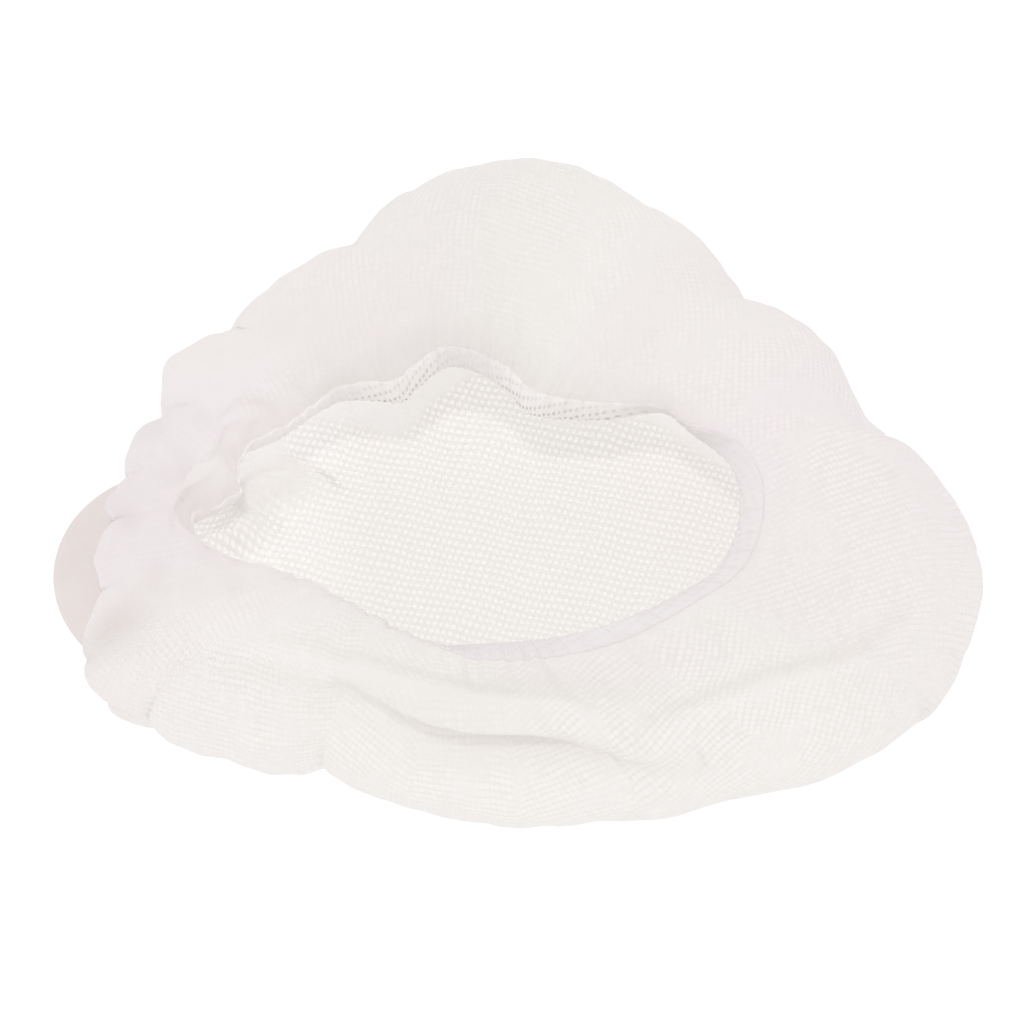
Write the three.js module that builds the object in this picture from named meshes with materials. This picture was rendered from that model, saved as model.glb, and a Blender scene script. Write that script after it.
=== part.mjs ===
// A mesh-topped cap, laid on its crown with the opening upwards.
// Units are millimetres. +X runs to the cap's back, -X to its peak, +Z up, and it lies on z = 0.
//
// Every form is a section swept round the opening's centre. A section is drawn in its own upright
// plane, where "turn" is the plane's direction in degrees from +X, "reach" the distance out and
// "rise" the height.
import * as THREE from 'three';

// ---- Driving sizes ----
const OPENING_CENTRE = { x: -14.2, y: -17.9 };
const CLOTH = 1.2; // thickness of the crown's knitted cloth
const GAP = 0.45; // clearance between two sewn pieces
const COLUMN_TURN = 3; // degrees between two sections
const COLUMNS = 360 / COLUMN_TURN;

const BAND = { width: 8, thickness: 2.4, sides: 6, ruffle: 0.35 };
const GATHER = { height: 0.9, fade: 0.12 }; // pleats that the elastic draws into the cloth beside the band
const PEAK = {
  x: -106.2, y: -24.9, radius: 37, from: 165, to: 198,
  rise: 20, droop: 5, thickness: 2.2, clearance: 0.75,
};

// The line where the cloth joins the band, and the direction in which the band lies from there.
const HEM = [
  { turn: 6, reach: 91, rise: 41, lay: 200 },
  { turn: 15, reach: 88, rise: 43, lay: 215 },
  { turn: 24, reach: 77, rise: 45, lay: 275 },
  { turn: 33, reach: 71, rise: 46, lay: 285 },
  { turn: 42, reach: 57, rise: 44, lay: 250 },
  { turn: 63, reach: 47, rise: 44, lay: 232 },
  { turn: 78, reach: 52, rise: 46, lay: 240 },
  { turn: 96, reach: 57, rise: 48, lay: 240 },
  { turn: 108, reach: 54, rise: 46, lay: 230 },
  { turn: 117, reach: 52, rise: 44, lay: 232 },
  { turn: 132, reach: 60, rise: 44, lay: 268 },
  { turn: 150, reach: 70, rise: 43, lay: 290 },
  { turn: 159, reach: 78, rise: 41, lay: 295 },
  { turn: 168, reach: 75, rise: 38, lay: 295 },
  { turn: 177, reach: 88, rise: 38, lay: 295 },
  { turn: 186, reach: 79, rise: 38, lay: 298 },
  { turn: 198, reach: 57, rise: 38, lay: 300 },
  { turn: 219, reach: 45, rise: 38, lay: 300 },
  { turn: 246, reach: 44, rise: 38, lay: 290 },
  { turn: 267, reach: 48, rise: 38, lay: 215 },
  { turn: 294, reach: 53, rise: 38, lay: 190 },
  { turn: 318, reach: 63, rise: 39, lay: 190 },
  { turn: 336, reach: 75, rise: 40, lay: 195 },
  { turn: 348, reach: 86, rise: 41, lay: 198 },
];

// The pouch: its upper ridge (crest), its widest line (side) and the line where it meets the surface (foot).
const POUCH = [
  { turn: 0, crestReach: 123, crestRise: 42, sideReach: 149, sideRise: 18, footReach: 131 },
  { turn: 12, crestReach: 109, crestRise: 47, sideReach: 137, sideRise: 23, footReach: 112 },
  { turn: 20, crestReach: 101, crestRise: 50, sideReach: 123, sideRise: 27, footReach: 101 },
  { turn: 30, crestReach: 96, crestRise: 53, sideReach: 120, sideRise: 31, footReach: 96 },
  { turn: 42, crestReach: 90, crestRise: 58, sideReach: 116, sideRise: 36, footReach: 93 },
  { turn: 60, crestReach: 90, crestRise: 66, sideReach: 120, sideRise: 36, footReach: 93 },
  { turn: 78, crestReach: 92, crestRise: 70, sideReach: 124, sideRise: 36, footReach: 98 },
  { turn: 93, crestReach: 87, crestRise: 69, sideReach: 118, sideRise: 36, footReach: 93 },
  { turn: 111, crestReach: 75, crestRise: 62, sideReach: 103, sideRise: 36, footReach: 78 },
  { turn: 123, crestReach: 73, crestRise: 58, sideReach: 99, sideRise: 34, footReach: 77 },
  { turn: 138, crestReach: 74, crestRise: 54, sideReach: 99, sideRise: 32, footReach: 77 },
  { turn: 147, crestReach: 79, crestRise: 52, sideReach: 101, sideRise: 32, footReach: 81 },
  { turn: 156, crestReach: 82, crestRise: 50, sideReach: 100, sideRise: 31, footReach: 83 },
  { turn: 171, crestReach: 87, crestRise: 48, sideReach: 106, sideRise: 32, footReach: 91 },
  { turn: 180, crestReach: 92, crestRise: 46, sideReach: 109, sideRise: 36, footReach: 97 },
  { turn: 192, crestReach: 94, crestRise: 44, sideReach: 113, sideRise: 34, footReach: 104 },
  { turn: 201, crestReach: 94, crestRise: 42, sideReach: 124, sideRise: 28, footReach: 112 },
  { turn: 210, crestReach: 87, crestRise: 42, sideReach: 113, sideRise: 17, footReach: 101 },
  { turn: 222, crestReach: 74, crestRise: 42, sideReach: 97, sideRise: 12, footReach: 86 },
  { turn: 234, crestReach: 68, crestRise: 42, sideReach: 88, sideRise: 11, footReach: 79 },
  { turn: 237, crestReach: 66, crestRise: 42, sideReach: 83, sideRise: 12, footReach: 74 },
  { turn: 252, crestReach: 64, crestRise: 42, sideReach: 84, sideRise: 14, footReach: 74 },
  { turn: 276, crestReach: 66, crestRise: 42, sideReach: 89, sideRise: 15, footReach: 78 },
  { turn: 294, crestReach: 72, crestRise: 40, sideReach: 98, sideRise: 15, footReach: 86 },
  { turn: 306, crestReach: 86, crestRise: 36, sideReach: 108, sideRise: 14, footReach: 96 },
  { turn: 318, crestReach: 98, crestRise: 35, sideReach: 120, sideRise: 14, footReach: 106 },
  { turn: 330, crestReach: 114, crestRise: 34, sideReach: 139, sideRise: 13, footReach: 124 },
  { turn: 345, crestReach: 136, crestRise: 34, sideReach: 151, sideRise: 14, footReach: 136 },
];

// Billows: the cloth swells between two creases, which stay sharp.
const BILLOWS = [
  { from: -21, to: 15, swell: 7 },
  { from: 0, to: 15, swell: 3 },
  { from: 15, to: 42, swell: 11 },
  { from: 42, to: 111, swell: 6 },
  { from: 99, to: 111, swell: 3 },
  { from: 111, to: 138, swell: 9 },
  { from: 138, to: 156, swell: 10 },
  { from: 156, to: 171, swell: 7 },
  { from: 171, to: 180, swell: 5 },
  { from: 180, to: 192, swell: 6 },
  { from: 192, to: 201, swell: 5 },
  { from: 201, to: 210, swell: 6 },
  { from: 210, to: 237, swell: 5 },
  { from: 237, to: 300, swell: 3 },
];
const BILLOW_FULLNESS = 0.55; // below 1 the swell rises steeply out of its creases

// Tucks: folds pressed into the pouch at one place along its section.
const TUCKS = [
  { from: 156, to: 210, along: 0.612, half: 0.028, inward: 20, drop: 0 },
  { from: 225, to: 312, along: 0.45, half: 0.05, inward: 9, drop: 8 },
];

// Where the section passes its crest, side and foot, as shares of the way from the hem (0) to the middle (1).
const CREST = 0.34;
const SIDE = 0.58;
const FOOT = 0.7;
const STATIONS = [
  0, 0.03, 0.08, 0.15, 0.24, CREST,
  0.38, 0.415, 0.45, 0.485, 0.53, SIDE,
  0.595, 0.612, 0.632, 0.655, 0.678, FOOT,
  0.85,
];

// ---- Helpers ----
const radians = THREE.MathUtils.degToRad;
const share = (value, from, to) => THREE.MathUtils.clamp((value - from) / (to - from), 0, 1);
const atTurn = (turn, reach, rise) => new THREE.Vector3(
  OPENING_CENTRE.x + reach * Math.cos(radians(turn)),
  OPENING_CENTRE.y + reach * Math.sin(radians(turn)),
  rise,
);

// A smooth closed curve through one column of a table.
function around(table, column, turn) {
  const count = table.length;
  const wanted = THREE.MathUtils.euclideanModulo(turn - table[0].turn, 360) + table[0].turn;
  let k = count - 1;
  while (table[k].turn > wanted) k -= 1;
  const row = (i) => {
    const lap = Math.floor(i / count);
    const r = table[i - lap * count];
    return { turn: r.turn + 360 * lap, value: r[column] };
  };
  const [before, start, end, after] = [row(k - 1), row(k), row(k + 1), row(k + 2)];
  const span = end.turn - start.turn;
  const s = (wanted - start.turn) / span;
  const startSlope = (end.value - before.value) / (end.turn - before.turn) * span;
  const endSlope = (after.value - start.value) / (after.turn - start.turn) * span;
  return (2 * s ** 3 - 3 * s ** 2 + 1) * start.value + (s ** 3 - 2 * s ** 2 + s) * startSlope
    + (3 * s ** 2 - 2 * s ** 3) * end.value + (s ** 3 - s ** 2) * endSlope;
}

// How far the billows push the cloth at this turn.
function billow(turn) {
  let sum = 0;
  for (const b of BILLOWS) {
    const t = (THREE.MathUtils.euclideanModulo(turn - b.from, 360)) / (b.to - b.from);
    if (t < 1) sum += b.swell * (4 * t * (1 - t)) ** BILLOW_FULLNESS;
  }
  return sum;
}

// One point of the crown's outer face: reach and rise at a share of the way along the section.
function sectionPoint(turn, along) {
  const swell = billow(turn);
  const hem = { reach: around(HEM, 'reach', turn), rise: around(HEM, 'rise', turn) };
  const crest = { reach: around(POUCH, 'crestReach', turn), rise: around(POUCH, 'crestRise', turn) };
  const side = { reach: around(POUCH, 'sideReach', turn), rise: around(POUCH, 'sideRise', turn) };
  const foot = around(POUCH, 'footReach', turn) + 0.7 * swell;
  let reach;
  let rise;
  if (along <= CREST) {
    const t = share(along, 0, CREST);
    reach = THREE.MathUtils.lerp(hem.reach, crest.reach, t);
    rise = THREE.MathUtils.lerp(hem.rise, crest.rise, Math.sin(t * Math.PI / 2));
  } else if (along <= SIDE) {
    const a = share(along, CREST, SIDE) * Math.PI / 2;
    reach = crest.reach + (side.reach - crest.reach) * Math.sin(a) + swell * (1 - Math.cos(a));
    rise = side.rise + (crest.rise - side.rise) * Math.cos(a);
  } else if (along < FOOT) {
    const a = share(along, SIDE, FOOT) * Math.PI / 2;
    reach = foot + (side.reach + swell - foot) * Math.cos(a);
    rise = side.rise * (1 - Math.sin(a));
  } else {
    return { reach: foot * (1 - share(along, FOOT, 1)), rise: 0 };
  }
  for (const t of TUCKS) {
    const across = Math.sin(Math.PI * share(turn, t.from, t.to)) ** 0.7;
    const pressed = across * Math.exp(-(((along - t.along) / t.half) ** 2));
    reach -= t.inward * pressed;
    rise -= t.drop * pressed;
  }
  const pleat = Math.cos(Math.PI * turn / COLUMN_TURN) * Math.exp(-along / GATHER.fade);
  return { reach, rise: rise + (along < SIDE ? GATHER.height * pleat : 0) };
}

// A closed body from points and from rows of triangles that share them.
function body(name, points, triangles, colour, roughness) {
  const geometry = new THREE.BufferGeometry().setFromPoints(points);
  geometry.setIndex(triangles.flat());
  geometry.computeVertexNormals();
  const material = new THREE.MeshStandardMaterial({ color: colour, roughness, metalness: 0 });
  const mesh = new THREE.Mesh(geometry, material);
  mesh.name = name;
  return mesh;
}

// Two triangles for each cell between two neighbouring rings of points.
function strip(ringA, ringB, closed = true) {
  const cells = closed ? ringA.length : ringA.length - 1;
  const faces = [];
  for (let i = 0; i < cells; i += 1) {
    const j = (i + 1) % ringA.length;
    faces.push([ringA[i], ringB[i], ringB[j]], [ringA[i], ringB[j], ringA[j]]);
  }
  return faces;
}

const turns = Array.from({ length: COLUMNS }, (_, i) => i * COLUMN_TURN);

// ---- Crown: one pouch of thin knitted cloth, open at the hem ----
function makeCrown() {
  const points = [];
  const outer = STATIONS.map((along) => turns.map((turn) => {
    const p = sectionPoint(turn, along);
    points.push(atTurn(turn, p.reach, p.rise));
    return points.length - 1;
  }));
  const outerMiddle = points.push(atTurn(0, 0, 0)) - 1;
  const outerFaces = [];
  for (let r = 0; r + 1 < outer.length; r += 1) outerFaces.push(...strip(outer[r], outer[r + 1]));
  const last = outer[outer.length - 1];
  last.forEach((p, i) => outerFaces.push([p, outerMiddle, last[(i + 1) % COLUMNS]]));

  // The inner face follows the outer one, a cloth's thickness inside it.
  const skin = new THREE.BufferGeometry().setFromPoints(points);
  skin.setIndex(outerFaces.flat());
  skin.computeVertexNormals();
  const normals = skin.getAttribute('normal');
  const count = points.length;
  for (let i = 0; i < count; i += 1) {
    const normal = new THREE.Vector3().fromBufferAttribute(normals, i);
    const inside = points[i].clone().addScaledVector(normal, -CLOTH);
    if (points[i].z === 0) inside.z = CLOTH;
    points.push(inside);
  }
  const innerFaces = outerFaces.map(([a, b, c]) => [a + count, c + count, b + count]);
  const rim = strip(outer[0].map((p) => p + count), outer[0]);
  return body('crown', points, [...outerFaces, ...innerFaces, ...rim], 0xf0ecea, 0.9);
}

// ---- Band: the elastic hem, a flat gathered tube round the opening ----
function makeBand() {
  const points = [];
  const rings = turns.map((turn, column) => {
    const hem = sectionPoint(turn, 0);
    const next = sectionPoint(turn, STATIONS[1]);
    const slope = new THREE.Vector2(next.reach - hem.reach, next.rise - hem.rise).normalize();
    const lay = radians(around(HEM, 'lay', turn));
    const along = new THREE.Vector2(Math.cos(lay), Math.sin(lay));
    const across = new THREE.Vector2(-along.y, along.x);
    const intoCloth = new THREE.Vector2(slope.y, -slope.x);
    const start = GAP + CLOTH * Math.max(0, intoCloth.dot(along))
      + (BAND.thickness / 2) * Math.max(0, slope.dot(along));
    const ruffle = BAND.ruffle * (column % 2 ? 1 : -1);
    return Array.from({ length: BAND.sides }, (_, k) => {
      const a = (k / BAND.sides) * 2 * Math.PI;
      const out = start + (BAND.width / 2) * (1 - Math.cos(a));
      const off = (BAND.thickness / 2) * Math.sin(a) + ruffle * (out / BAND.width);
      const reach = hem.reach + along.x * out + across.x * off;
      const rise = hem.rise + along.y * out + across.y * off;
      return points.push(atTurn(turn, reach, rise)) - 1;
    });
  });
  const faces = [];
  rings.forEach((ring, i) => faces.push(...strip(rings[(i + 1) % rings.length], ring)));
  return body('band', points, faces, 0xe6e2e3, 0.85);
}

// ---- Peak: a small half-round plate whose root sits in the tuck behind the gathers ----
function makePeak() {
  const rootRise = { low: PEAK.rise - PEAK.thickness - 1, high: PEAK.rise + PEAK.thickness + 1 };
  const centre = new THREE.Vector2(PEAK.x - OPENING_CENTRE.x, PEAK.y - OPENING_CENTRE.y);
  const centreTurn = THREE.MathUtils.radToDeg(Math.atan2(centre.y, centre.x)) + 360;
  const samples = 120;
  const wallReach = (turn) => {
    let reach = 0;
    for (let i = 0; i <= samples; i += 1) {
      const p = sectionPoint(turn, THREE.MathUtils.lerp(SIDE, FOOT, i / samples));
      if (p.rise > rootRise.low && p.rise < rootRise.high) reach = Math.max(reach, p.reach);
    }
    return reach;
  };
  const edgeReach = (turn) => {
    const lean = radians(turn - centreTurn);
    const far = centre.length();
    return far * Math.cos(lean) + Math.sqrt(PEAK.radius ** 2 - (far * Math.sin(lean)) ** 2);
  };
  const steps = [0, 0.3, 0.6, 0.85, 1];
  const points = [];
  const rings = [];
  for (let turn = PEAK.from; turn <= PEAK.to; turn += COLUMN_TURN) {
    const root = wallReach(turn) + PEAK.clearance;
    const edge = edgeReach(turn);
    const level = (t, side) => {
      const thin = side * (PEAK.thickness / 2) * (t === 1 ? 0.4 : 1);
      return atTurn(turn, THREE.MathUtils.lerp(root, edge, t), PEAK.rise - PEAK.droop * t * t + thin);
    };
    const upper = steps.map((t) => points.push(level(t, 1)) - 1);
    const lower = steps.map((t) => points.push(level(t, -1)) - 1);
    rings.push([...upper, ...lower.reverse()]);
  }
  const faces = [];
  for (let i = 0; i + 1 < rings.length; i += 1) faces.push(...strip(rings[i + 1], rings[i]));
  const cap = (ring, flip) => {
    const top = steps.length;
    for (let k = 0; k + 1 < top; k += 1) {
      const [a, b, c, d] = [ring[k], ring[k + 1], ring[2 * top - 2 - k], ring[2 * top - 1 - k]];
      faces.push(...(flip ? [[a, c, b], [a, d, c]] : [[a, b, c], [a, c, d]]));
    }
  };
  cap(rings[0], true);
  cap(rings[rings.length - 1], false);
  return body('peak', points, faces, 0xe5dddb, 0.8);
}

const cap = new THREE.Group();
cap.name = 'mesh_top_chef_cap';
cap.add(makeCrown(), makeBand(), makePeak());

export default cap;
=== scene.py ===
# %% [markdown]
# # A mesh-topped kitchen cap, lying on its crown
#
# The real cap is a round piece of knitted net, gathered on a soft elastic band, with a small cloth
# peak sewn on at the front. Here it lies upside down, so we look through the opening onto the net
# of the crown. The cells below build the three pieces, their cloth, and a plain bright studio.
#
# The first cell loads the packed model. It gives the room that each piece may fill.

# %% Load the frame
import math

import bmesh
import bpy
import numpy as np
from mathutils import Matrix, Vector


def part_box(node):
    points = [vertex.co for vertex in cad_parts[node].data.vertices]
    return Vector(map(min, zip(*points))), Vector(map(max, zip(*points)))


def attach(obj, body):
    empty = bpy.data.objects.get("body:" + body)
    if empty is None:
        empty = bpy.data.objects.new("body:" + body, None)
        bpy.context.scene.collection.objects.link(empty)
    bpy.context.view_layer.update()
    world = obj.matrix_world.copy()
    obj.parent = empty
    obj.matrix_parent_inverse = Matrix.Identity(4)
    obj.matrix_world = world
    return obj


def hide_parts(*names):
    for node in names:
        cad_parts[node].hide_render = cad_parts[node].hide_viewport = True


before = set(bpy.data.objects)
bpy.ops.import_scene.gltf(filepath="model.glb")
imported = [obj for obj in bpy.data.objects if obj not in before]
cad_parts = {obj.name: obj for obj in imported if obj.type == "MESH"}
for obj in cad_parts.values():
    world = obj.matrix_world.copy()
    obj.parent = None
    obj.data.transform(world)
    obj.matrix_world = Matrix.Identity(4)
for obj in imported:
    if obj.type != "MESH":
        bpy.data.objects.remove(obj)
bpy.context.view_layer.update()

MM = 0.001

# %% [markdown]
# ## The fold tables
#
# A gathered pouch could be sculpted by hand, or simulated. Sculpting is hard to repeat, and a
# simulation rarely falls into the folds that we want. We describe it as a tailor would: a section
# is swept round the opening, and short tables say how far out and how high it passes at each turn.
# "turn" is the direction in degrees, "reach" the distance from the opening's middle, "rise" the
# height, all in millimetres.

# %% Tables of the hem, the pouch and its billows
CENTRE = (-14.2, -17.9)

HEM = np.array([  # turn, reach, rise, lay of the band
    (6, 91, 41, 200), (15, 88, 43, 215), (24, 77, 45, 275), (33, 71, 46, 285), (42, 57, 44, 250),
    (63, 47, 44, 232), (78, 52, 46, 240), (96, 57, 48, 240), (108, 54, 46, 230), (117, 52, 44, 232),
    (132, 60, 44, 268), (150, 70, 43, 290), (159, 78, 41, 295), (168, 75, 38, 295),
    (177, 88, 38, 295), (186, 79, 38, 298), (198, 57, 38, 300), (219, 45, 38, 300),
    (246, 44, 38, 290), (267, 48, 38, 215), (294, 53, 38, 190), (318, 63, 39, 190),
    (336, 75, 40, 195), (348, 86, 41, 198)], float)

POUCH = np.array([  # turn, crest reach, crest rise, side reach, side rise, foot reach
    (0, 123, 42, 149, 18, 131), (12, 109, 47, 137, 23, 112), (20, 101, 50, 123, 27, 101),
    (30, 96, 53, 120, 31, 96), (42, 90, 58, 116, 36, 93), (60, 90, 66, 120, 36, 93),
    (78, 92, 70, 124, 36, 98), (93, 87, 69, 118, 36, 93), (111, 75, 62, 103, 36, 78),
    (123, 73, 58, 99, 34, 77), (138, 74, 54, 99, 32, 77), (147, 79, 52, 101, 32, 81),
    (156, 82, 50, 100, 31, 83), (171, 87, 48, 106, 32, 91), (180, 92, 46, 109, 36, 97),
    (192, 94, 44, 113, 34, 104), (201, 94, 42, 124, 28, 112), (210, 87, 42, 113, 17, 101),
    (222, 74, 42, 97, 12, 86), (234, 68, 42, 88, 11, 79), (237, 66, 42, 83, 12, 74),
    (252, 64, 42, 84, 14, 74), (276, 66, 42, 89, 15, 78), (294, 72, 40, 98, 15, 86),
    (306, 86, 36, 108, 14, 96), (318, 98, 35, 120, 14, 106), (330, 114, 34, 139, 13, 124),
    (345, 136, 34, 151, 14, 136)], float)

BILLOWS = (  # from, to, swell
    (-21, 15, 7), (0, 15, 3), (15, 42, 11), (42, 111, 6), (99, 111, 3), (111, 138, 9),
    (138, 156, 10), (156, 171, 7), (171, 180, 5), (180, 192, 6), (192, 201, 5), (201, 210, 6),
    (210, 237, 5), (237, 300, 3))
BILLOW_FULLNESS = 0.55

CREST, SIDE, FOOT = 0.34, 0.58, 0.7  # where a section passes these lines, from hem 0 to middle 1
print(len(HEM), "hem rows,", len(POUCH), "pouch rows,", len(BILLOWS), "billows")

# %% [markdown]
# ## From the tables to a smooth surface
#
# Between two rows of a table the value follows a smooth curve that comes back on itself after one
# lap. numpy works on all the points of the mesh at once, so the whole cap takes a few seconds.

# %% Smooth values round the lap


def around(table, column, turn):
    """A column of a table at any turn, on a smooth closed curve through its rows."""
    at = np.concatenate([table[:, 0] - 360, table[:, 0], table[:, 0] + 360])
    value = np.tile(table[:, column], 3)
    slope = np.zeros_like(value)
    slope[1:-1] = (value[2:] - value[:-2]) / (at[2:] - at[:-2])
    turn = np.mod(turn, 360)
    k = np.searchsorted(at, turn, side="right") - 1
    span = at[k + 1] - at[k]
    s = (turn - at[k]) / span
    return ((2 * s**3 - 3 * s**2 + 1) * value[k] + (s**3 - 2 * s**2 + s) * slope[k] * span
            + (3 * s**2 - 2 * s**3) * value[k + 1] + (s**3 - s**2) * slope[k + 1] * span)


def share(value, start, end):
    """How far a value has come from start to end: 0 before, 1 after, evenly between."""
    return np.clip((value - start) / (end - start), 0, 1)


def between(value, start, full, fade, end):
    """Rises from start to full, stays at 1, and falls from fade to end."""
    return share(value, start, full) * share(value, end, fade)


def hump(value, middle, half):
    """A soft hump: 1 at the middle, little beyond twice its half width."""
    return np.exp(-(((value - middle) / half) ** 2))


def billow(turn):
    """How far the billows swell out at a turn, in millimetres."""
    total = np.zeros_like(turn)
    for start, end, swell in BILLOWS:
        t = np.mod(turn - start, 360) / (end - start)
        inside = np.clip(4 * t * (1 - t), 0, 1)
        total += swell * np.where(t < 1, inside, 0) ** BILLOW_FULLNESS
    return total


print("hem reach at turn 90:", round(float(around(HEM, 1, np.array(90.0))), 1), "mm")

# %% [markdown]
# ## One section of the pouch
#
# From the hem the net climbs over a crest, rolls down the outer side and turns under to the foot,
# where it meets the flat floor. Straight and round stretches follow each other, and each is a short
# formula between two rows of the tables.

# %% The section without its folds


def plain_section(turn, along):
    """Reach and rise of the smooth pouch, from the hem (along 0) to the middle (1)."""
    swell = billow(turn)
    hem_reach, hem_rise = around(HEM, 1, turn), around(HEM, 2, turn)
    crest_reach, crest_rise = around(POUCH, 1, turn), around(POUCH, 2, turn)
    side_reach, side_rise = around(POUCH, 3, turn), around(POUCH, 4, turn)
    foot = around(POUCH, 5, turn) + 0.7 * swell
    climb = share(along, 0, CREST)
    over = share(along, CREST, SIDE) * math.pi / 2
    under = share(along, SIDE, FOOT) * math.pi / 2
    zones = [along <= CREST, along <= SIDE, along < FOOT]
    reach = np.select(zones, [
        hem_reach + (crest_reach - hem_reach) * climb,
        crest_reach + (side_reach - crest_reach) * np.sin(over) + swell * (1 - np.cos(over)),
        foot + (side_reach + swell - foot) * np.cos(under)], foot * (1 - share(along, FOOT, 1)))
    rise = np.select(zones, [
        hem_rise + (crest_rise - hem_rise) * np.sin(climb * math.pi / 2),
        side_rise + (crest_rise - side_rise) * np.cos(over),
        side_rise * (1 - np.sin(under))], 0.0)
    return reach, rise


plain = [plain_section(np.array(90.0), np.array(a)) for a in (0, CREST, SIDE, FOOT)]
print("smooth section at turn 90, hem, crest, side, foot:",
      [(round(float(reach), 1), round(float(rise), 1)) for reach, rise in plain])

# %% [markdown]
# ## Tucks, a pleat and a hanging hem
#
# Three things keep the pouch from being a plain ring. Two tucks press a long groove into the wall.
# A pleat lays the cloth over itself: a point before its line moves forward, and one after it back,
# so the net runs in an S. Round turn 170 the hem is heavy with gathers and hangs down a little.

# %% The section with its folds
TUCKS = (  # from, to, along, half width, inward, drop
    (156, 210, 0.612, 0.028, 20, 0), (225, 312, 0.45, 0.05, 9, 8))
PLEATS = (  # from, to, along at both ends, half length, overlap, thickness
    (224, 311, 0.37, 0.45, 0.07, 4.5, 2.3),)
ROLLED_DROP = 3  # millimetres that the hem sinks where the band rolls inwards
HANGING_DROP, HANGING_IN = 6, 3  # and where it hangs, down and inwards


def section(turn, along):
    """Reach and rise of the cloth, in millimetres, from the hem (along 0) to the middle (1)."""
    turn, along = np.broadcast_arrays(np.asarray(turn, float), np.asarray(along, float))
    reach, rise = plain_section(turn, along)
    for start, end, centre, half, inward, drop in TUCKS:
        across = np.sin(math.pi * share(turn, start, end)) ** 0.7
        pressed = across * hump(along, centre, half) * (along < FOOT)
        reach = reach - inward * pressed
        rise = rise - drop * pressed
    climb_slope = np.arctan2(around(POUCH, 2, turn) - around(HEM, 2, turn),
                             around(POUCH, 1, turn) - around(HEM, 1, turn))
    past = share(along, CREST - 0.1, CREST + 0.1)
    slope = climb_slope * (1 - past) - math.pi / 4 * past
    for start, end, first, last, half, overlap, thick in PLEATS:
        across = np.sin(math.pi * share(turn, start, end) ** 1.12) ** 1.4
        centre = first + (last - first) * share(turn, start, end)
        u = np.clip((along - centre) / half, -1, 1)
        forth = -overlap * np.sin(math.pi * u) * across
        up = -thick * np.sin(math.pi * u) * across
        reach = reach + forth * np.cos(slope) - up * np.sin(slope)
        rise = rise + forth * np.sin(slope) + up * np.cos(slope)
    rolled = share(around(HEM, 3, turn), 250, 285) * share(along, 0.045, 0) ** 2
    hanging = between(turn, 132, 150, 186, 200) * share(along, 0.16, 0) ** 1.5
    rise = rise - ROLLED_DROP * rolled - HANGING_DROP * hanging
    return reach - HANGING_IN * hanging, rise


def place(turn, reach, rise):
    """The point, in millimetres, at a turn, reach and rise."""
    angle = np.radians(turn)
    return np.stack([CENTRE[0] + reach * np.cos(angle), CENTRE[1] + reach * np.sin(angle),
                     rise + 0 * reach], axis=-1)


print("section at turn 90, hem, crest, side, foot:",
      [tuple(round(float(v), 1) for v in section(90, a)) for a in (0, CREST, SIDE, FOOT)])

# %% [markdown]
# ## A disc of cloth for the crown
#
# The crown is cut as one disc. A disc made of rings and spokes crowds its points at the middle, so
# we take a square grid and push it into a disc: each square ring becomes a round one. The points
# stay even, nothing has to be merged, and the grid's own squares later serve as a map for baking.

# %% Square grid to disc
CELLS = 304  # squares along one side of the grid
FLOOR_RINGS = 0.26  # share of the rings that lie flat under the opening


def disc_from_square(x, y):
    """The turn and the ring, 0 at the middle and 1 at the hem, of a point of the square."""
    ring = np.maximum(abs(x), abs(y))
    safe = np.where(ring == 0, 1, ring)
    sideways = abs(x) >= abs(y)
    across = 45 * y / np.where(sideways, np.where(x == 0, safe, x), safe)
    upward = 90 - 45 * x / np.where(sideways, safe, np.where(y == 0, safe, y))
    turn = np.where(sideways, across + np.where(x < 0, 180, 0), upward + np.where(y < 0, 180, 0))
    return np.mod(turn, 360), ring


def along_from_ring(ring):
    """Where a ring of the disc lies on the section: 1 at the middle, 0 at the hem."""
    flat = 1 - (1 - FOOT) * ring / FLOOR_RINGS
    wall = FOOT * (1 - (ring - FLOOR_RINGS) / (1 - FLOOR_RINGS))
    return np.where(ring < FLOOR_RINGS, flat, wall)


bm = bmesh.new()
bmesh.ops.create_grid(bm, x_segments=CELLS, y_segments=CELLS, size=1)
crown_mesh = bpy.data.meshes.new("crown_net")
bm.to_mesh(crown_mesh)
bm.free()
square = np.empty(len(crown_mesh.vertices) * 3)
crown_mesh.vertices.foreach_get("co", square)
square = square.reshape(-1, 3)
turn, ring = disc_from_square(square[:, 0], square[:, 1])
along = along_from_ring(ring)
reach, rise = section(turn, along)
print("crown disc:", len(square), "points,", 2 * len(crown_mesh.polygons), "triangles")

# %% [markdown]
# ## Uneven waves
#
# Cloth never folds evenly, so the folds below wander. Random numbers at each point would look like
# noise. A sum of a few waves in random directions is smooth, and it has no seam where a lap closes,
# because it is made in space. A seed keeps the random part the same each time.

# %% Helpers for wandering folds


def ripples(points, shortest, longest, count, seed):
    """A smooth unevenness of about -1 to 1, from waves in random directions."""
    rng = np.random.default_rng(seed)
    way = rng.normal(size=(count, 3))
    way /= np.linalg.norm(way, axis=1, keepdims=True)
    length = shortest * (longest / shortest) ** rng.random(count)
    phase = rng.random(count) * 2 * math.pi
    waves = np.sin(points @ (way * 2 * math.pi / length[:, None]).T + phase)
    return (waves * length).sum(axis=1) / np.sqrt((length**2).sum() / 2) / 2


def circle(turn, radius):
    """Points on a flat ring, where waves that depend on the turn alone are looked up."""
    angle = np.radians(turn)
    return np.stack([radius * np.cos(angle), radius * np.sin(angle), 0 * angle], axis=-1)


sample = ripples(circle(np.arange(360.0), 60), 9, 40, 12, 8)
print("a wandering lap goes from", round(sample.min(), 2), "to", round(sample.max(), 2))

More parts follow.
